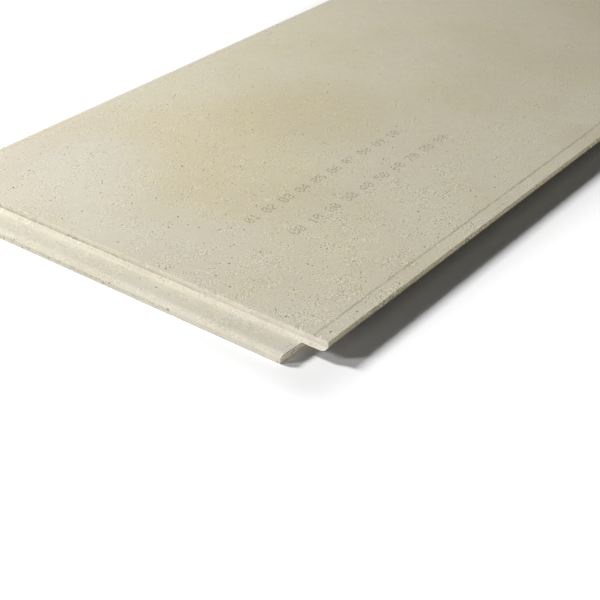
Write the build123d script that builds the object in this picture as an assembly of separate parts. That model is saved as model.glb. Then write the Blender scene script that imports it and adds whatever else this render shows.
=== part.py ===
from build123d import *
import os

os.makedirs("parts", exist_ok=True)

# Laying size: the area that one board covers once its neighbours overlap its stepped edges
laying_length = 1200.0
laying_width = 600.0

# Stepped edge: the upper half of the board ends in a lip, the lower half in a tongue,
# and each runs past the other half by the width of the rebate
lip_thickness = 11.5
tongue_thickness = 11.5
rebate_width = 35.0

# Slope left by the cutter at the foot of each rebate, and cut off the outer edge that faces it
bevel = 3.5

# Broken arris along the rims of the two flat faces
arris = 0.6

# Overall size
overall_length = laying_length + rebate_width
overall_width = laying_width + rebate_width
thickness = lip_thickness + tongue_thickness

# Feet of the rebates: where the shorter half of the board ends on each side
foot_x = overall_length / 2 - rebate_width
foot_y = overall_width / 2 - rebate_width

# How far the cutters run past the board on every side
overrun = 10.0


def edge_cutter(inner, outer, run):
    """Solid that cuts one side of the board to its stepped section.

    It is drawn at a foot in the plane of X and Z: X runs outwards and Z = 0 is the level where
    the two halves meet. inner is the thickness of the half that stops at the foot, above that
    level, and outer the thickness of the half that runs on below it. run is the length of the side.
    """
    section = Polyline(
        (-arris - overrun, inner + overrun),
        (0, inner - arris),
        (0, bevel),
        (bevel, 0),
        (rebate_width - bevel, 0),
        (rebate_width, -bevel),
        (rebate_width, arris - outer),
        (rebate_width - arris - overrun, -outer - overrun),
        (rebate_width + overrun, -outer - overrun),
        (rebate_width + overrun, inner + overrun),
        close=True,
    )
    return extrude(Plane.XZ * make_face(section), amount=run / 2 + overrun, both=True)


def tongue_cutter(run):
    """Cutter for a side where the lower half runs on as the tongue."""
    return edge_cutter(lip_thickness, tongue_thickness, run)


def lip_cutter(run):
    """Cutter for a side where the upper half runs on as the lip: the same step, turned over."""
    return Rot(180, 0, 0) * edge_cutter(tongue_thickness, lip_thickness, run)


# The board: a plain block, cut to the stepped section on its four sides. The tongue runs along
# one short and one long side that meet, and the lip along the other two.
board = Pos(0, 0, thickness / 2) * Box(overall_length, overall_width, thickness)
board -= Pos(-foot_x, 0, tongue_thickness) * Rot(0, 0, 180) * tongue_cutter(overall_width)
board -= Pos(0, foot_y, tongue_thickness) * Rot(0, 0, 90) * tongue_cutter(overall_length)
board -= Pos(foot_x, 0, tongue_thickness) * lip_cutter(overall_width)
board -= Pos(0, -foot_y, tongue_thickness) * Rot(0, 0, -90) * lip_cutter(overall_length)

board.label = "board"
export_step(board, "parts/board.step")
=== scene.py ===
import math
import random

import bmesh
import bpy
import numpy as np
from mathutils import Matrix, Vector, geometry, noise


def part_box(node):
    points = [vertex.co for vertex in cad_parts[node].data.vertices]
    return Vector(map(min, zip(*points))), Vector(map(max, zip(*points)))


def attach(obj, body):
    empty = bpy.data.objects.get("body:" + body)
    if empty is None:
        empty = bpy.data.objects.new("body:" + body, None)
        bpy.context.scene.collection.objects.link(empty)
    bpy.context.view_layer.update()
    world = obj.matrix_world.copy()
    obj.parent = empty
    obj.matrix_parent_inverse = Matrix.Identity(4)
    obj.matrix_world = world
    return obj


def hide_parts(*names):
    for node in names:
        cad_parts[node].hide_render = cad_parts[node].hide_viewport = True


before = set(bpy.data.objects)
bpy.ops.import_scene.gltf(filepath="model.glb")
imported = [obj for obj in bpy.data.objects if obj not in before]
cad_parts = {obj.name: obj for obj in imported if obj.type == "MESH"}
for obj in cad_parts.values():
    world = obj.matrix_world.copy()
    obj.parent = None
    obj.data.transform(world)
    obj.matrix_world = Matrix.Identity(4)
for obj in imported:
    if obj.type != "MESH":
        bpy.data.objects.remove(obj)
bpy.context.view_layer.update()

# The board is one slab of gypsum and paper fibre, pressed flat between steel belts, then sawn to
# size. Its four sides are milled to a stepped section: the upper half overhangs as a lip on two
# sides, and the lower half runs on as a tongue on the other two. It is made as one closed skin.

low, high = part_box("board")
middle = (low.z + high.z) / 2
centre = (low + high) / 2
rebate_width = 0.035
bevel = 0.0035
arris_radius = 0.00025

# Rows down a slope, in shares of the bevel: the drop, how far the row stands out at the foot of an
# upright face, and how far it draws in under a lip. The cutter rounds the slope at both ends.
slope_rows = (
    (-0.15, 0.0, 0.05),
    (0.10, 0.05, 0.21),
    (0.42, 0.30, 0.50),
    (0.78, 0.64, 0.82),
    (1.00, 1.05, 1.10),
)
foot_reach = bevel * slope_rows[-1][1]
lip_reach = bevel * slope_rows[-1][2]

# The upper half of the board, in plan. Its foot stands on the tongue at the low end of X and the
# high end of Y. The lower half is the same shape, turned about the middle of the board.
upper_low = Vector((low.x + rebate_width, low.y))
upper_high = Vector((high.x, high.y - rebate_width))

# Spacing of the skin's columns along the sides, and its rows down an arris, down an upright face
# and across the flat of a rebate
column_spacing = 0.0025
arris_rows = 2
upright_rows = 6
flat_rows = 6
flat_width = rebate_width - foot_reach - lip_reach
long_columns = round((upper_high.x - upper_low.x - flat_width) / column_spacing)
short_columns = round((upper_high.y - upper_low.y - flat_width) / column_spacing)


def stretch(start, end, columns):
    """Evenly spaced places from start to end, both ends included."""
    return [start + (end - start) * k / columns for k in range(columns + 1)]


def ring_sides(inset, foot, lip, z):
    """The four sides of the upper half's outline at one level, each as a row of points.

    inset draws all four in, as at an arris. foot moves the outline out over the tongues, and lip
    moves it in under the lips, as the slopes of the rebates do. Each side that stands on a tongue
    starts or ends with a stretch over the end of a lip, where the other rebate runs through.
    """
    x_low = upper_low.x + inset - foot
    x_high = upper_high.x - inset - lip
    y_low = upper_low.y + inset + lip
    y_high = upper_high.y - inset + foot
    x_stub = x_high - flat_width * (x_high - x_low) / (upper_high.x - upper_low.x)
    y_stub = y_low + flat_width * (y_high - y_low) / (upper_high.y - upper_low.y)
    long_lip = [(x, y_low, z) for x in stretch(x_low, x_high, long_columns)]
    short_lip = [(x_high, y, z) for y in stretch(y_low, y_high, short_columns)]
    long_foot = [(x, y_high, z) for x in stretch(x_high, x_stub, flat_rows)[:-1]]
    long_foot += [(x, y_high, z) for x in stretch(x_stub, x_low, long_columns)]
    short_foot = [(x_low, y, z) for y in stretch(y_high, y_stub, short_columns)]
    short_foot += [(x_low, y, z) for y in stretch(y_stub, y_low, flat_rows)[1:]]
    return long_lip, short_lip, long_foot, short_foot


def section_levels():
    """Rows of the upper half's section, from the rim of the top face down to the middle."""
    rows = []
    for k in range(arris_rows + 1):
        turn = math.radians(90 * k / arris_rows)
        drop = arris_radius * (1 - math.cos(turn))
        rows.append((arris_radius * (1 - math.sin(turn)), 0, 0, high.z - drop))
    top = high.z - arris_radius
    foot = middle + bevel * (1 - slope_rows[0][0])
    rows += [(0, 0, 0, z) for z in stretch(top, foot, upright_rows)[1:-1]]
    for drop, out, under in slope_rows:
        rows.append((0, bevel * out, bevel * under, middle + bevel * (1 - drop)))
    return rows


# Every patch of the skin adds its own points and faces, with the place of each point on a sheet
# that becomes the texture map. The points along shared edges are welded once all are in.
skin_points, skin_faces, skin_finish, skin_sheet = [], [], [], []
PRESSED, MILLED_LONG, MILLED_FLAT, MILLED_SHORT, INK = range(5)
sheet_gap = 0.004


def add_patch(points, faces, finish, sheet):
    """Adds one patch to the skin: its faces and their finish, and its points' places on the sheet."""
    start = len(skin_points)
    skin_points.extend(points)
    skin_sheet.extend(sheet)
    skin_faces.extend(tuple(start + i for i in face) for face in faces)
    skin_finish.extend(finish)


def turned_over(points):
    """The same points on the other half of the board."""
    return [tuple(2 * centre[k] - p[k] for k in range(3)) for p in points]


def add_grid(rows, finish, along, at):
    """A patch of rows of points, on both halves, and the height that both take on the sheet.

    along is the axis that the rows follow. at is the place of the first copy on the sheet.
    """
    wide = len(rows[0])
    points = [p for row in rows for p in row]
    down = [0.0]
    for above, below in zip(rows, rows[1:]):
        down.append(down[-1] + (Vector(below[wide // 2]) - Vector(above[wide // 2])).length)
    faces = []
    for r in range(len(rows) - 1):
        for c in range(wide - 1):
            k = r * wide + c
            faces.append((k, k + 1, k + wide + 1, k + wide))
    for copy, shelf in ((points, at[1]), (turned_over(points), at[1] + down[-1] + sheet_gap)):
        first = min(p[along] for p in copy)
        sheet = [(at[0] + p[along] - first, shelf + down[k // wide]) for k, p in enumerate(copy)]
        add_patch(copy, faces, [finish] * len(faces), sheet)
    return 2 * (down[-1] + sheet_gap)


# The stepped sides: first the upright faces and slopes round each half, then the flats between
levels = [ring_sides(*level) for level in section_levels()]
shelf = 0.0
shelf += add_grid([level[0] for level in levels], MILLED_LONG, 0, (0, shelf))
shelf += add_grid([level[2] for level in levels], MILLED_LONG, 0, (0, shelf))
beside = upper_high.y - upper_low.y + sheet_gap
add_grid([level[3] for level in levels], MILLED_SHORT, 1, (beside, shelf))
shelf += add_grid([level[1] for level in levels], MILLED_SHORT, 1, (0, shelf))

outer_long, outer_short = levels[-1][:2]
inner_low = (low.x + rebate_width - foot_reach, low.y + rebate_width - foot_reach)
inner_high = (high.x - rebate_width + foot_reach, high.y - rebate_width + foot_reach)
inner_xs = stretch(inner_low[0], inner_high[0], long_columns)
inner_ys = stretch(inner_low[1], inner_high[1], short_columns)
inner_long = [(x, inner_low[1], middle) for x in inner_xs]
inner_short = [(inner_high[0], y, middle) for y in inner_ys]


def flat_between(outer, inner):
    """Rows of points across a rebate's flat, from the lip's outer edge in to its foot."""
    rows = []
    for t in stretch(0, 1, flat_rows):
        row = [tuple(a[k] + (b[k] - a[k]) * t for k in range(3)) for a, b in zip(outer, inner)]
        rows.append(row)
    return rows


shelf += add_grid(flat_between(outer_long, inner_long), MILLED_FLAT, 0, (0, shelf))
shelf += add_grid(flat_between(outer_short, inner_short), MILLED_SHORT, 1, (0, shelf))

# The two big faces: pressed flat, with pores where a lump of fibre has pulled out. Each pore is a
# small dish with a ragged rim, cut into the face.
rng = random.Random(23)
top_pores = 3450
underside_pores = 1200
pore_margin = 0.004
pore_radius = 0.0005
pore_spread = 0.0011
pore_gap = 1.7
pore_cell = 0.006
stray_pores = 0.08

# A pore's sides, and its rings, as shares of its radius and of its depth
small_pore = 0.0008
small_pore_shape = (6, ((1.0, 0.0),))
large_pore_shape = (8, ((1.0, 0.0), (0.55, 0.75)))

# Two frames of spare points inside the rim of a big face, as insets and steps along the rim. They
# keep the triangles by the rim short.
rim_frames = ((0.003, 2), (0.009, 4))

# Printed on the top face in two rows of small dots of ink: plain counting numbers. Each row has
# its text, the place of its start and its foot, and the step between two columns of dots.
digit_dots = {
    "0": ".###. #...# #..## #.#.# ##..# #...# .###.",
    "1": "..#.. .##.. ..#.. ..#.. ..#.. ..#.. .###.",
    "2": ".###. #...# ....# ..##. .#... #.... #####",
    "3": ".###. #...# ....# ..##. ....# #...# .###.",
    "4": "...#. ..##. .#.#. #..#. ##### ...#. ...#.",
    "5": "##### #.... ####. ....# ....# #...# .###.",
    "6": "..##. .#... #.... ####. #...# #...# .###.",
    "7": "##### ....# ...#. ..#.. .#... .#... .#...",
    "8": ".###. #...# #...# .###. #...# #...# .###.",
    "9": ".###. #...# #...# .#### ....# ...#. .##..",
}
number_rows = (
    ("01 02 03 04 05 06 07 08 09 10", low.x + 0.180, low.y + 0.2205, 0.00184),
    ("00 10 20 30 40 50 60 70 80 90", low.x + 0.191, low.y + 0.1610, 0.00194),
)
digit_columns = 6
top_row = 6
row_step = 0.002
dot_radius = 0.00083
dot_sides = 6
missed_dots = 0.07
x_jitter = 0.00004
y_jitter = 0.00008


def ink_places():
    """Centres and radii of the printed dots. Now and then a nozzle missed, so a dot is left out."""
    places = []
    for text, x_start, y_foot, dot_step in number_rows:
        for k, digit in enumerate(text):
            for row, dots in enumerate(digit_dots.get(digit, "").split()):
                for column, dot in enumerate(dots):
                    if dot == "#" and rng.random() > missed_dots:
                        x = x_start + (digit_columns * k + column) * dot_step
                        x += rng.uniform(-x_jitter, x_jitter)
                        y = y_foot + (top_row - row) * row_step
                        y += rng.uniform(-y_jitter, y_jitter)
                        places.append((x, y, dot_radius * rng.uniform(0.82, 1.0)))
    return places


def smooth_step(value, start, end):
    """Runs smoothly from 0 to 1 as value goes from start to end."""
    t = min(max((value - start) / (end - start), 0.0), 1.0)
    return t * t * (3 - 2 * t)


def two_noises(at, coarse, share, fine):
    """Noise at coarse patches per metre, with a share of finer noise added."""
    return noise.noise(at * coarse) + share * noise.noise(at * fine)


def pore_places(count, x_range, y_range, taken):
    """Places and radii of the pores, in crowds, kept clear of each other and of what is taken."""
    places, cells = [], {}
    for x, y, radius in taken:
        cells.setdefault((int(x // pore_cell), int(y // pore_cell)), []).append((x, y, radius))
    while len(places) < count:
        x, y = rng.uniform(*x_range), rng.uniform(*y_range)
        radius = pore_radius + pore_spread * rng.random() ** 3
        crowded = two_noises(Vector((x, y, 0)), 30, 0.5, 75)
        if rng.random() > stray_pores + smooth_step(crowded, -0.1, 0.5):
            continue
        column, row = int(x // pore_cell), int(y // pore_cell)
        around = [(column + i, row + j) for i in (-1, 0, 1) for j in (-1, 0, 1)]
        near = [q for cell in around for q in cells.get(cell, [])]
        if all(math.hypot(x - q[0], y - q[1]) > pore_gap * (radius + q[2]) for q in near):
            cells.setdefault((column, row), []).append((x, y, radius))
            places.append((x, y, radius))
    return places


def add_face(loop, z, into, pores, dots, at):
    """A big face inside its rim, cut with pores. into is +1 or -1: the way the pores go down."""
    xs, ys = [p[0] for p in loop], [p[1] for p in loop]
    x_range = (min(xs) + pore_margin, max(xs) - pore_margin)
    y_range = (min(ys) + pore_margin, max(ys) - pore_margin)
    placed = list(loop)
    edges = [(k, (k + 1) % len(loop)) for k in range(len(loop))]
    areas = [list(range(len(loop)))]
    for inset, step in rim_frames:
        for p in loop[::step]:
            x = min(max(p[0], min(xs) + inset), max(xs) - inset)
            y = min(max(p[1], min(ys) + inset), max(ys) - inset)
            placed.append((x, y, z))
    for x, y, radius in dots:
        first = len(placed)
        for k in range(dot_sides):
            angle = math.tau * k / dot_sides
            placed.append((x + radius * math.cos(angle), y + radius * math.sin(angle), z))
        areas.append(list(range(first, first + dot_sides)))
    for x, y, radius in pore_places(pores, x_range, y_range, dots):
        sides, rings = small_pore_shape if radius < small_pore else large_pore_shape
        depth = radius * rng.uniform(0.35, 0.8)
        turn = rng.uniform(0, math.tau)
        lean = rng.uniform(0, math.pi)
        longer = rng.uniform(1.0, 1.4)
        first = len(placed)
        for share, sunk in rings:
            for k in range(sides):
                angle = turn + math.tau * k / sides
                reach = radius * share * rng.uniform(0.8, 1.2)
                u = reach * math.cos(angle) * longer
                v = reach * math.sin(angle) / longer
                across = u * math.cos(lean) - v * math.sin(lean)
                up = u * math.sin(lean) + v * math.cos(lean)
                placed.append((x + across, y + up, z + into * depth * sunk))
        edges += [(first + k, first + (k + 1) % sides) for k in range(sides)]
        placed.append((x, y, z + into * depth))
    flat_points = [Vector(p[:2]) for p in placed]
    joined = geometry.delaunay_2d_cdt(flat_points, edges, areas, 1, 1e-7)
    faces, point_sources, face_sources = joined[2], joined[3], joined[5]
    points = [placed[sources[0]] for sources in point_sources]
    sheet = [(at[0] + p[0] - min(xs), at[1] + p[1] - min(ys)) for p in points]
    finish = [INK if max(sources) > 0 else PRESSED for sources in face_sources]
    add_patch(points, [tuple(face) for face in faces], finish, sheet)


top_loop = [p for side in levels[0] for p in side[:-1]]
add_face(top_loop, high.z, -1, top_pores, ink_places(), (0, shelf))
shelf += upper_high.y - upper_low.y + sheet_gap
add_face(turned_over(top_loop), low.z, 1, underside_pores, [], (0, shelf))
shelf += upper_high.y - upper_low.y
sheet_size = (high.x - low.x, shelf)

# Weld the patches into one skin
weld_distance = 0.00001
board_mesh = bpy.data.meshes.new("board")
board_mesh.from_pydata(skin_points, [], skin_faces)
board_mesh.polygons.foreach_set("material_index", skin_finish)
sheet_map = board_mesh.uv_layers.new(name="OFBake")
corners = np.array([skin_sheet[i] for face in skin_faces for i in face]) / np.array(sheet_size)
sheet_map.uv.foreach_set("vector", corners.astype(np.float32).ravel())
skin = bmesh.new()
skin.from_mesh(board_mesh)
bmesh.ops.remove_doubles(skin, verts=skin.verts[:], dist=weld_distance)
bmesh.ops.recalc_face_normals(skin, faces=skin.faces[:])
skin.to_mesh(board_mesh)
skin.free()

# Wear, as moves of the skin into the board: how far chips reach from the rim of a big face, and
# the depths of chips, of the cutter's roughness and of torn fibre. Two thin edges have crumbled:
# the overhang at the end of the short tongue lost a share, and the long lip's lower edge a depth.
rim_reach = 0.0022
chip_depth = 0.0009
rough_depth = 0.00012
tear_depth = 0.0004
tongue_end_wear = 0.45
lip_wear = 0.0004

# Where wear starts and where it is full, from the near corner: knocks and the rubbed tip; then where
# painted shade on the sides close to the corner starts and is full
knocked_reach = (0.30, 0.10)
tip_reach = (0.09, 0.03)
corner_shade_reach = (0.12, 0.06)

# The same for torn fibre on the upper half, down from the top face and up from the middle, and on
# the lower half, down from the middle and up from the underside
upper_tear = (0.0025, 0.0064)
upper_tear_end = (bevel, bevel + 0.0006)
lower_tear = (0.0048, 0.0068)
lower_tear_end = (0.0018, 0.0032)

# Painted shade along the long lip's lower edge starts this far down from the top face. Along Y, the far
# part of the short sides has less torn fibre, and less painted shade on its slopes.
lip_shade_drop = (0.0048, 0.0068)
far_tear = (0.08, 0.18)
far_slope = (0.06, 0.20)
slope_shade = 0.21
slope_tilt = 0.74
skin_slack = 0.0001

count = len(board_mesh.vertices)
places = np.empty(count * 3)
board_mesh.vertices.foreach_get("co", places)
places = places.reshape(-1, 3)
normals = np.empty(count * 3, np.float32)
board_mesh.vertex_normals.foreach_get("vector", normals)
normals = normals.reshape(-1, 3)
on_sides = [face.material_index not in (PRESSED, INK) for face in board_mesh.polygons]
side_faces = [face for face, side in zip(board_mesh.polygons, on_sides) if side]
side_points = {k for face in side_faces for k in face.vertices}
pale, torn_and_shade = np.zeros(count), np.zeros(count)
moved = places.copy()
for k, (x, y, z) in enumerate(places):
    if k not in side_points:
        continue
    at = Vector((x, y, z))
    out_x, out_y, out_z = normals[k]
    upright = 1 - abs(out_z)
    on_long_side = abs(out_x) < 0.5
    from_face = min(high.z - z, z - low.z)
    from_corner = math.hypot(x - upper_low.x, y - low.y)
    rim = max(0.0, 1 - from_face / rim_reach)
    rough = 0.5 + 0.5 * noise.noise(at * 610)
    chip = smooth_step(two_noises(at, 170, 0.5, 420), 0.28, 0.75)
    clump = smooth_step(two_noises(at, 260, 0.7, 520), -0.3, 0.6)
    spread = smooth_step(two_noises(at, 22, 0.4, 60), -0.35, 0.45)
    knocked = smooth_step(from_corner, *knocked_reach)
    tip = smooth_step(from_corner, *tip_reach)

    # Fibre is torn low on the upright faces, in clumps, and less where the corner is knocked. The
    # end of the short tongue is cut cleaner.
    if z > middle:
        tear = smooth_step(high.z - z, *upper_tear) * smooth_step(z - middle, *upper_tear_end)
        tear_share = 1.12 - 0.35 * smooth_step(y, *far_tear)
    else:
        tear = smooth_step(middle - z, *lower_tear) * smooth_step(z - low.z, *lower_tear_end)
        tear_share = 0.6
    tear *= upright * (0.50 + 0.29 * spread) * (0.5 + 0.5 * clump) * (1 - 0.5 * knocked)
    tear *= tear_share
    rubbed = (knocked * (0.1 + 0.35 * clump) + 0.3 * tip) * math.sqrt(upright) * (1 - 0.5 * tear)
    if z < middle and out_y < -0.5:
        tear *= 0.4

    # The long lip's own face is evenly worn. Painted shade darkens it towards the near corner and, in
    # clumps, along its lower edge, standing in for the shadow under the lip.
    worn_rim, shaded, lip_edge_shade = 0.1, 0.0, 0.0
    if on_long_side and y < low.y + 0.002:
        rubbed, worn_rim, shaded = 0.0, 0.3, 0.17 * knocked
        knocked *= 0.2
        tear *= 0.45
        lip_edge_shade = 0.8 * smooth_step(high.z - z, *lip_shade_drop) * (0.65 + 0.35 * clump)
    pale[k] = max(rim * (worn_rim + 0.55 * chip + knocked * (0.1 + 0.6 * clump)), rubbed)

    # Painted shade: slopes near 45 degrees are darkened a little, against the light that they catch,
    # and what faces down inside the steps is darkened nearly fully, for the shade under a step. Upright
    # faces all take a little of the same dark tone.
    tilt = abs(out_z) - slope_tilt
    slope = smooth_step(0.5 - max(tilt, -0.7 * tilt), 0.2, 0.42)
    slope *= 1 - 0.6 * smooth_step(y, *far_slope)
    facing_down = smooth_step(-out_z, 0.25, 0.6) if from_face > rim_reach else 0.0
    upright_tone_and_shade = 0.08 * upright + shaded
    torn_and_shade[k] = max(tear, slope_shade * slope, upright_tone_and_shade, lip_edge_shade, 0.95 * facing_down)
    # Painted shade: the sides darken a little close to the near corner
    torn_and_shade[k] += 0.05 * smooth_step(from_corner, *corner_shade_reach)

    # The long lip was cut last, so its top arris is still crisp
    crisp = 1.0 if y > low.y + 0.001 else 0.25
    depth = rough_depth * rough * (0.35 + 0.65 * upright)
    depth += chip_depth * rim * chip * crisp * (0.6 + 0.6 * knocked) + tear_depth * tear * clump
    moved[k] -= normals[k] * depth

    # The thin edge that overhangs at the end of the short tongue has crumbled, most at its corner,
    # and so has the lower edge of the long lip
    if x < upper_low.x and z < middle + skin_slack:
        overhang = max(0.0, low.y + rebate_width - y)
        moved[k][1] += tongue_end_wear * overhang * smooth_step(upper_low.x - x, -0.005, 0.03)
    on_lip_edge = y < low.y + 1.2 * bevel and middle + skin_slack < z < middle + 1.2 * bevel
    if on_lip_edge and on_long_side:
        moved[k][1] += lip_wear
board_mesh.vertices.foreach_set("co", moved.astype(np.float32).ravel())
for name, values in (("pale", pale), ("torn_and_shade", torn_and_shade)):
    kept = board_mesh.attributes.new(name, "FLOAT", "POINT")
    kept.data.foreach_set("value", values.astype(np.float32))
board_mesh.set_sharp_from_angle(angle=math.radians(50))
board_mesh.polygons.foreach_set("use_smooth", on_sides)
board_mesh.update()


def add_object(name, data):
    """A new object in the scene, at the origin."""
    made = bpy.data.objects.new(name, data)
    bpy.context.scene.collection.objects.link(made)
    return made


board = add_object("pressed_board", board_mesh)


def colour(red, green, blue):
    """A colour from the usual 0 to 255 steps, as Blender's linear values."""
    steps = [c / 255 for c in (red, green, blue)]
    linear = [c / 12.92 if c <= 0.04045 else ((c + 0.055) / 1.055) ** 2.4 for c in steps]
    return (*linear, 1.0)


def feed(tree, socket, value):
    """Links a socket to another one, or sets it to a plain value."""
    if isinstance(value, bpy.types.NodeSocket):
        tree.links.new(value, socket)
    else:
        socket.default_value = value


def calculate(tree, operation, *values):
    """One step of arithmetic on numbers."""
    made = tree.nodes.new("ShaderNodeMath")
    made.operation = operation
    for socket, value in zip(made.inputs, values):
        feed(tree, socket, value)
    return made.outputs[0]


def times(tree, first, second):
    """The product of two numbers."""
    return calculate(tree, "MULTIPLY", first, second)


def calculate_place(tree, operation, *values):
    """One step of arithmetic on places. A distance or a length comes out as a number."""
    made = tree.nodes.new("ShaderNodeVectorMath")
    made.operation = operation
    for socket, value in zip(made.inputs, values):
        feed(tree, socket, value)
    return made.outputs["Value" if operation in ("DISTANCE", "LENGTH") else "Vector"]


def axes(tree, place):
    """The X, Y and Z of a place."""
    made = tree.nodes.new("ShaderNodeSeparateXYZ")
    feed(tree, made.inputs[0], place)
    return made.outputs["X"], made.outputs["Y"], made.outputs["Z"]


def blend(tree, share, first, second, way="MIX"):
    """Goes from the first colour to the second, or lays the second over the first another way."""
    made = tree.nodes.new("ShaderNodeMix")
    made.data_type = "RGBA"
    made.blend_type = way
    feed(tree, made.inputs[0], share)
    feed(tree, made.inputs[6], first)
    feed(tree, made.inputs[7], second)
    return made.outputs[2]


def rise(tree, value, start, end, bottom=0.0, top=1.0):
    """Runs smoothly from bottom to top as value goes from start to end."""
    made = tree.nodes.new("ShaderNodeMapRange")
    made.interpolation_type = "SMOOTHSTEP"
    names = ("Value", "From Min", "From Max", "To Min", "To Max")
    for name, number in zip(names, (value, start, end, bottom, top)):
        feed(tree, made.inputs[name], number)
    return made.outputs["Result"]


def cloud(tree, place, per_metre, detail=2.0, rough=0.5, output="Fac"):
    """Noise about 0.5, with its largest patches 1 / per_metre across."""
    made = tree.nodes.new("ShaderNodeTexNoise")
    feed(tree, made.inputs["Vector"], place)
    made.inputs["Scale"].default_value = per_metre
    made.inputs["Detail"].default_value = detail
    made.inputs["Roughness"].default_value = rough
    return made.outputs[output]


def grains(tree, place, per_metre, share, radius):
    """Mask of ragged grains: a share of the cells of a pattern holds one, each of its own size."""
    cells = tree.nodes.new("ShaderNodeTexVoronoi")
    feed(tree, cells.inputs["Vector"], place)
    cells.inputs["Scale"].default_value = per_metre
    chance = tree.nodes.new("ShaderNodeSeparateColor")
    feed(tree, chance.inputs["Color"], cells.outputs["Color"])
    held = calculate(tree, "LESS_THAN", chance.outputs["Red"], share)
    size = radius * per_metre
    reach = calculate(tree, "MULTIPLY_ADD", chance.outputs["Green"], size * 0.7, size * 0.5)
    inside = rise(tree, calculate(tree, "DIVIDE", cells.outputs["Distance"], reach), 1.2, 0.6)
    return times(tree, held, inside)


def start_group(name, inputs, outputs):
    """A shader node group with named sockets, with the ends that its nodes link to."""
    group = bpy.data.node_groups.new(name, "ShaderNodeTree")
    for way, sockets in (("INPUT", inputs), ("OUTPUT", outputs)):
        for socket, kind in sockets.items():
            group.interface.new_socket(name=socket, in_out=way, socket_type="NodeSocket" + kind)
    given = group.nodes.new("NodeGroupInput").outputs
    result = group.nodes.new("NodeGroupOutput").inputs
    return group, given, result


def place_group(tree, group, values):
    """Places a group in a material with its own values, and gives the group's outputs."""
    made = tree.nodes.new("ShaderNodeGroup")
    made.node_tree = group
    for name, value in values.items():
        feed(tree, made.inputs[name], value)
    return made.outputs


# What every cut through the board shows: cream gypsum with cloudy patches, fine grain that is
# busier in some places, pale and dark specks, and dark lumps of paper fibre
pale_grain = colour(238, 233, 216)
dust_grain = colour(130, 118, 94)
fibre_lump = colour(100, 88, 66)
cool_tint = (0.993, 0.993, 1.012, 1)
warm_tint = (1.007, 1.005, 0.982, 1)
ragged_by = 0.0018
fibre_body, given, result = start_group(
    "gypsum_fibre_body",
    {"Place": "Vector", "Body": "Color", "Warm": "Color", "Clouds": "Float", "Specks": "Float"},
    {"Color": "Color", "Height": "Float"},
)
place = given["Place"]
ragged = cloud(fibre_body, place, 520.0, output="Color")
spread_by = (ragged_by, ragged_by, ragged_by)
ragged_place = calculate_place(fibre_body, "MULTIPLY_ADD", ragged, spread_by, place)
patches = rise(fibre_body, cloud(fibre_body, place, 6.0, 3.0), 0.42, 0.68)
patches = times(fibre_body, patches, given["Clouds"])
body = blend(fibre_body, patches, given["Body"], given["Warm"])
warmth = rise(fibre_body, cloud(fibre_body, place, 30.0, 3.0, 0.6), 0.35, 0.65)
body = blend(fibre_body, 1.0, body, blend(fibre_body, warmth, cool_tint, warm_tint), "MULTIPLY")
busy = rise(fibre_body, cloud(fibre_body, place, 34.0, 3.0, 0.6), 0.41, 0.61, 0.25, 1.0)
busy = times(fibre_body, busy, given["Specks"])
mottle = cloud(fibre_body, place, 75.0, 4.0, 0.6)
grain = cloud(fibre_body, place, 480.0, 3.0, 0.8)
swing = times(fibre_body, calculate(fibre_body, "SUBTRACT", grain, 0.5), busy)
tone = calculate(fibre_body, "MULTIPLY_ADD", mottle, 0.12, 0.94)
tone = times(fibre_body, tone, calculate(fibre_body, "MULTIPLY_ADD", swing, 1.8, 1.0))
body = blend(fibre_body, 1.0, body, tone, "MULTIPLY")
lights = grains(fibre_body, ragged_place, 390.0, 0.34, 0.0010)
dust = grains(fibre_body, ragged_place, 420.0, 0.30, 0.0009)
lumps = grains(fibre_body, ragged_place, 170.0, 0.09, 0.0012)
for mask, crowd, strength, speck in (
    (lights, busy, 0.75, pale_grain),
    (dust, busy, 0.5, dust_grain),
    (lumps, given["Specks"], 0.58, fibre_lump),
):
    shown = times(fibre_body, mask, times(fibre_body, crowd, strength))
    body = blend(fibre_body, shown, body, speck)
feed(fibre_body, result["Color"], body)
raised = calculate(fibre_body, "MULTIPLY_ADD", grain, 0.7, times(fibre_body, mottle, 0.5))
raised = calculate(fibre_body, "MULTIPLY_ADD", lumps, -0.8, raised)
raised = calculate(fibre_body, "MULTIPLY_ADD", lights, 0.3, raised)
feed(fibre_body, result["Height"], raised)

# How a pressed face changes over the board: dusty at the near end, another tone beside the long
# lip, warmer and paler stains, and specks that crowd towards the lip and thin out along X. A stain
# has its place, its reach and the tone that it gives.
dusty_end = (upper_low.x + 0.04, upper_low.x + 0.27)
lip_side = (low.y + 0.20, low.y + 0.05)
crowded_side = (low.y + 0.30, low.y + 0.04)
crowded_end = (-0.35, 0.0)
stain_core = 0.05
stains = (
    ((-0.36, -0.008, high.z), 0.17, (1.0, 0.98, 0.92, 1)),
    ((-0.14, 0.036, high.z), 0.17, (0.94, 0.915, 0.85, 1)),
    ((-0.27, 0.132, high.z), 0.15, (1.0, 0.98, 0.93, 1)),
    ((-0.41, 0.280, high.z), 0.21, (1.0, 1.0, 1.06, 1)),
    ((-0.47, -0.217, high.z), 0.17, (1.0, 0.99, 0.935, 1)),
)
face_tones, given, result = start_group(
    "pressed_face_tones",
    {"Place": "Vector", "Dusty": "Color", "Body": "Color", "Lip Side": "Color", "Specks": "Float"},
    {"Color": "Color", "Specks": "Float"},
)
x, y, z = axes(face_tones, given["Place"])
from_end = rise(face_tones, x, *dusty_end)
tone = blend(face_tones, from_end, given["Dusty"], given["Body"])
for stain_place, stain_reach, stain_tone in stains:
    off_stain = calculate_place(face_tones, "DISTANCE", given["Place"], stain_place)
    stained = rise(face_tones, off_stain, stain_reach, stain_core)
    tone = blend(face_tones, stained, tone, stain_tone, "MULTIPLY")
by_lip = times(face_tones, from_end, rise(face_tones, y, *lip_side))
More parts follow.
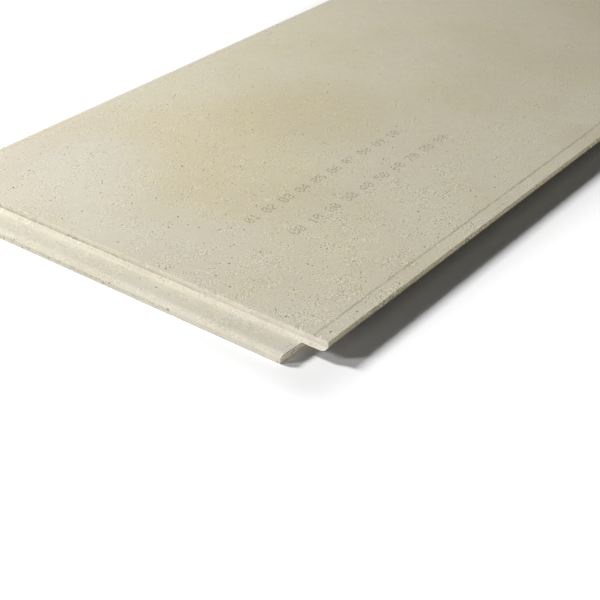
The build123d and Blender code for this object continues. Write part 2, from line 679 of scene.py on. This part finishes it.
tone = blend(face_tones, by_lip, tone, given["Lip Side"])
feed(face_tones, result["Color"], tone)
crowd = rise(face_tones, y, *crowded_side, 1.0, 1.6)
crowd = times(face_tones, crowd, rise(face_tones, x, *crowded_end, 1.0, 0.5))
feed(face_tones, result["Specks"], times(face_tones, crowd, given["Specks"]))

# The faint guide line, drawn along the long lip on the top face by a worn scriber
line_y = low.y + 0.0195
line_reach = 0.0016
line_wander = 0.0036
line_strength = 0.49
line_tone = colour(148, 138, 122)
guide_line, given, result = start_group(
    "guide_line", {"Place": "Vector", "Color": "Color"}, {"Color": "Color"}
)
place = given["Place"]
x, y, z = axes(guide_line, place)
wander = cloud(guide_line, place, 55.0, 3.0, 0.6)
wander = calculate(guide_line, "MULTIPLY_ADD", wander, line_wander, line_y - line_wander / 2)
off_line = calculate(guide_line, "ABSOLUTE", calculate(guide_line, "SUBTRACT", y, wander))
line = rise(guide_line, off_line, line_reach * 1.4, line_reach * 0.5)
line = times(guide_line, line, calculate(guide_line, "GREATER_THAN", z, middle))
faded = rise(guide_line, cloud(guide_line, place, 120.0, 3.0, 0.6), 0.36, 0.58, 0.4, 1.0)
line = times(guide_line, times(guide_line, line, faded), line_strength)
feed(guide_line, result["Color"], blend(guide_line, line, given["Color"], line_tone))

# Worn edges: the body rubbed to a pale powder, which Flecks breaks up from 0, even, to 1
worn_edge, given, result = start_group(
    "worn_edge",
    {"Place": "Vector", "Color": "Color", "Worn": "Float", "Flecks": "Float", "Powder": "Color"},
    {"Color": "Color"},
)
flecks = rise(worn_edge, cloud(worn_edge, given["Place"], 500.0, 2.0, 0.6), 0.40, 0.62, -0.9, 0.1)
flecks = calculate(worn_edge, "MULTIPLY_ADD", flecks, given["Flecks"], 1.0)
worn = times(worn_edge, given["Worn"], flecks)
feed(worn_edge, result["Color"], blend(worn_edge, worn, given["Color"], given["Powder"]))

# Marks along the cutter's way. Along shrinks the axis that the cutter followed.
cutter_marks, given, result = start_group(
    "cutter_marks",
    {"Place": "Vector", "Along": "Vector", "Color": "Color", "Height": "Float"},
    {"Color": "Color", "Height": "Float"},
)
drawn_out = calculate_place(cutter_marks, "MULTIPLY", given["Place"], given["Along"])
streaks = cloud(cutter_marks, drawn_out, 380.0, 3.0, 0.6)
marks = calculate(cutter_marks, "MULTIPLY_ADD", streaks, 0.07, 0.965)
feed(cutter_marks, result["Color"], blend(cutter_marks, 1.0, given["Color"], marks, "MULTIPLY"))
raised = calculate(cutter_marks, "MULTIPLY_ADD", streaks, 0.3, given["Height"])
feed(cutter_marks, result["Height"], raised)

# Torn fibre, darker than the clean cut, in clumps. The same dark tone also paints shade: on slopes,
# under the steps, along the long lip's lower edge, near the near corner and along the foot.
fibre_and_shade_tone = colour(118, 110, 90)
torn_fibre_and_shade, given, result = start_group(
    "torn_fibre_and_shade", {"Place": "Vector", "Color": "Color", "Torn And Shade": "Float"}, {"Color": "Color"}
)
clumps = rise(torn_fibre_and_shade, cloud(torn_fibre_and_shade, given["Place"], 420.0, 2.0), 0.36, 0.62, 0.45, 1.2)
clumps = times(torn_fibre_and_shade, given["Torn And Shade"], clumps)
feed(torn_fibre_and_shade, result["Color"], blend(torn_fibre_and_shade, clumps, given["Color"], fibre_and_shade_tone))

# Painted shade: the last millimetre above the underside is darkened, standing in for the shadow line
# where the board meets what it lies on
contact_shade_foot, given, result = start_group(
    "contact_shade_foot", {"Place": "Vector", "Color": "Color"}, {"Color": "Color"}
)
x, y, z = axes(contact_shade_foot, given["Place"])
contact_shade = rise(contact_shade_foot, z, low.z + 0.0010, low.z + 0.0003, 0.0, 0.7)
feed(contact_shade_foot, result["Color"], blend(contact_shade_foot, contact_shade, given["Color"], fibre_and_shade_tone))

# Pits that the cutter opened, dark and sunk
pit_tone = colour(112, 103, 80)
pits, given, result = start_group(
    "pits",
    {"Place": "Vector", "Color": "Color", "Height": "Float"},
    {"Color": "Color", "Height": "Float"},
)
pitted = grains(pits, given["Place"], 110.0, 0.22, 0.0014)
feed(pits, result["Color"], blend(pits, times(pits, pitted, 0.65), given["Color"], pit_tone))
feed(pits, result["Height"], calculate(pits, "MULTIPLY_ADD", pitted, -2.0, given["Height"]))


def attribute(tree, name):
    """A value that the skin's points hold."""
    made = tree.nodes.new("ShaderNodeAttribute")
    made.attribute_name = name
    return made.outputs["Fac"]


def start_material(name, roughness):
    """A matt material with nodes, and its tree, shader and the place of each point in the board."""
    made = bpy.data.materials.new(name)
    made.use_nodes = True
    tree = made.node_tree
    shader = tree.nodes["Principled BSDF"]
    shader.inputs["Specular IOR Level"].default_value = 0.25
    shader.inputs["Roughness"].default_value = roughness
    place = tree.nodes.new("ShaderNodeTexCoord").outputs["Object"]
    return made, tree, shader, place


def add_bump(tree, shader, height, distance):
    """Gives the shader the small relief of a height."""
    bump = tree.nodes.new("ShaderNodeBump")
    feed(tree, bump.inputs["Height"], height)
    bump.inputs["Strength"].default_value = 1.0
    bump.inputs["Distance"].default_value = distance
    feed(tree, shader.inputs["Normal"], bump.outputs["Normal"])


# The pressed faces, and the dots of ink on the top one. The ink sinks into the same fibre.
finishes = {}
cloudiness = 0.4
pressed_powder = colour(226, 220, 194)
pressed_roughness = 0.88
pressed_relief = 0.00022
ink = (108, 99, 82)
for finish, name, dusty, body, warm, lip_tone, specks in (
    (PRESSED, "pressed_face", (212, 206, 188), (210, 203, 180), (203, 192, 162), (214, 208, 185), 1.0),
    (INK, "printed_dots", ink, ink, ink, ink, 0.6),
):
    finishes[finish], tree, shader, place = start_material(name, pressed_roughness)
    toned = place_group(tree, face_tones, {
        "Place": place,
        "Dusty": colour(*dusty),
        "Body": colour(*body),
        "Lip Side": colour(*lip_tone),
        "Specks": specks,
    })
    bodied = place_group(tree, fibre_body, {
        "Place": place,
        "Body": toned["Color"],
        "Warm": colour(*warm),
        "Clouds": cloudiness,
        "Specks": toned["Specks"],
    })
    lined = place_group(tree, guide_line, {"Place": place, "Color": bodied["Color"]})
    edged = place_group(tree, worn_edge, {
        "Place": place,
        "Color": lined["Color"],
        "Worn": attribute(tree, "pale"),
        "Flecks": 1.0,
        "Powder": pressed_powder,
    })
    feed(tree, shader.inputs["Base Color"], edged["Color"])
    add_bump(tree, shader, bodied["Height"], pressed_relief)

# The milled sides: cut clean through the body. The long sides' body is painted yellower than the short
# sides', standing in for warm light bounced into the shade under the lip. The far long side faces the
# lamps, so it is painted greyer and darker, as painted shade, and is less rubbed.
milled_powder = colour(229, 221, 209)
milled_warm = colour(201, 192, 165)
milled_roughness = 0.9
milled_relief = 0.0002
far_side = (-0.2, 0.2)
far_side_tone = colour(196, 190, 172)
for finish, name, body, along, specks in (
    (MILLED_LONG, "milled_long_side", (206, 198, 162), (0.06, 1.0, 1.0), 3.2),
    (MILLED_FLAT, "milled_long_flat", (206, 200, 183), (0.06, 1.0, 1.0), 0.7),
    (MILLED_SHORT, "milled_short_side", (213, 208, 193), (1.0, 0.06, 1.0), 0.7),
):
    finishes[finish], tree, shader, place = start_material(name, milled_roughness)
    plain_body = colour(*body)
    worn = attribute(tree, "pale")
    # Painted shade: the far long side is greyer and darker, and its pale wear is halved
    if finish == MILLED_LONG:
        x, y, z = axes(tree, place)
        plain_body = blend(tree, rise(tree, y, *far_side), plain_body, far_side_tone)
        worn = times(tree, worn, rise(tree, y, *far_side, 1.0, 0.5))
    bodied = place_group(tree, fibre_body, {
        "Place": place,
        "Body": plain_body,
        "Warm": milled_warm,
        "Clouds": cloudiness,
        "Specks": specks,
    })
    marked = place_group(tree, cutter_marks, {
        "Place": place,
        "Along": along,
        "Color": bodied["Color"],
        "Height": bodied["Height"],
    })
    fibre_and_shaded = place_group(tree, torn_fibre_and_shade, {
        "Place": place,
        "Color": marked["Color"],
        "Torn And Shade": attribute(tree, "torn_and_shade"),
    })
    edged = place_group(tree, worn_edge, {
        "Place": place,
        "Color": fibre_and_shaded["Color"],
        "Worn": worn,
        "Flecks": 0.0,
        "Powder": milled_powder,
    })
    contact_shaded = place_group(tree, contact_shade_foot, {"Place": place, "Color": edged["Color"]})
    sunk = place_group(tree, pits, {
        "Place": place,
        "Color": contact_shaded["Color"],
        "Height": marked["Height"],
    })
    feed(tree, shader.inputs["Base Color"], sunk["Color"])
    add_bump(tree, shader, sunk["Height"], milled_relief)
for finish in sorted(finishes):
    board_mesh.materials.append(finishes[finish])

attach(board, "root")
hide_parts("board")

# The floor is a wide sheet of white studio board that the object lies on. The camera sees it white
# with the object's shadow on it, and plain white further off. For other light it is a pale grey,
# so that it throws little light up at the object.

floor_size = 24.0
thrown_back = 0.6
beside_object = (0.0, 0.1)
shadow_fades = (0.15, 0.8)


def mix_shaders(tree, share, first, second):
    """Goes from the first shader to the second."""
    made = tree.nodes.new("ShaderNodeMixShader")
    for socket, value in zip(made.inputs, (share, first, second)):
        feed(tree, socket, value)
    return made.outputs[0]


def background_rays(tree):
    """1 for the camera's own rays, and for those that see the background in gloss or glass."""
    rays = tree.nodes.new("ShaderNodeLightPath").outputs
    either = calculate(tree, "MAXIMUM", rays["Is Camera Ray"], rays["Is Glossy Ray"])
    return calculate(tree, "MAXIMUM", either, rays["Is Transmission Ray"])


half = floor_size / 2
floor_corners = [(-half, -half, low.z), (half, -half, low.z), (half, half, low.z), (-half, half, low.z)]
floor_mesh = bpy.data.meshes.new("floor")
floor_mesh.from_pydata(floor_corners, [], [(0, 1, 2, 3)])
floor = add_object("floor", floor_mesh)
floor_paint = bpy.data.materials.new("white_floor")
floor_paint.use_nodes = True
tree = floor_paint.node_tree
tree.nodes.remove(tree.nodes["Principled BSDF"])
plain = tree.nodes.new("ShaderNodeBsdfDiffuse")
plain.inputs["Color"].default_value = (thrown_back, thrown_back, thrown_back, 1)

# How far a point of the floor lies outside the object's box
place = tree.nodes.new("ShaderNodeTexCoord").outputs["Object"]
apart = calculate_place(tree, "ABSOLUTE", place)
apart = calculate_place(tree, "SUBTRACT", apart, tuple(high - centre))
apart = calculate_place(tree, "MAXIMUM", apart, (0, 0, 0))
apart = calculate_place(tree, "LENGTH", apart)

# Painted shade: the camera's colour of the floor is plain white next to the object and rises over white
# within 10 cm, which deepens the object's shadow close to it. Plain white where it fades.
seen = tree.nodes.new("ShaderNodeBsdfDiffuse")
feed(tree, seen.inputs["Color"], rise(tree, apart, *beside_object, 1.0, 1.5))
far_white = tree.nodes.new("ShaderNodeEmission")
fading = rise(tree, apart, *shadow_fades)
white = mix_shaders(tree, fading, seen.outputs[0], far_white.outputs[0])
surface = mix_shaders(tree, background_rays(tree), plain.outputs[0], white)
feed(tree, tree.nodes["Material Output"].inputs["Surface"], surface)
floor_mesh.materials.append(floor_paint)

# The lamps are two soft boxes on the left of the view and two low reflectors, one in front of the
# near corner and one on the right. Each has its way and distance from the near corner, its power
# and its size. The studio's white walls add a weak, even light from all round.

near_corner = Vector((upper_low.x, upper_low.y, high.z))
for name, way, distance, power, size in (
    ("soft_box_front", (-1.43, 1.43, 1.0), 3.2, 43, (0.5, 0.65)),
    ("soft_box_back", (-0.22, 1.50, 1.0), 3.2, 105, (0.5, 0.65)),
    ("reflector_front", (-1.0, 0.0, 0.12), 0.9, 2.6, (0.5, 0.2)),
    ("reflector_right", (0.7, -3.2, 0.12), 3.35, 41, (3.4, 0.22)),
):
    lamp = bpy.data.lights.new(name, "AREA")
    lamp.shape = "RECTANGLE"
    lamp.size, lamp.size_y = size
    lamp.energy = power
    box = add_object(name, lamp)
    box.location = near_corner + Vector(way).normalized() * distance
    box.rotation_euler = (near_corner - box.location).to_track_quat("-Z", "Y").to_euler()
    box.visible_camera = False

even_light = 0.025
world = bpy.data.worlds.new("studio")
bpy.context.scene.world = world
world.use_nodes = True
tree = world.node_tree
around = tree.nodes["Background"]
around.inputs["Color"].default_value = (1, 1, 1, 1)
strength = calculate(tree, "MULTIPLY_ADD", background_rays(tree), 1 - even_light, even_light)
feed(tree, around.inputs["Strength"], strength)

# The camera stands where the photograph was taken from. Its place, turn and lens were solved from
# the edges of the board, and it is shifted by half a pixel, because they were read at the middle
# of each pixel.

photo_size = 600
camera_data = bpy.data.cameras.new("camera")
camera_data.lens = 75.998
camera_data.sensor_width = 36
camera_data.shift_x = -0.5 / photo_size
camera_data.shift_y = 0.5 / photo_size
camera = add_object("camera", camera_data)
camera.location = (-1.4453, -0.9429, 0.7524)
camera.rotation_euler = (math.radians(57.484), 0, math.radians(-52.538))
bpy.context.scene.camera = camera
bpy.context.scene.view_settings.view_transform = "Standard"
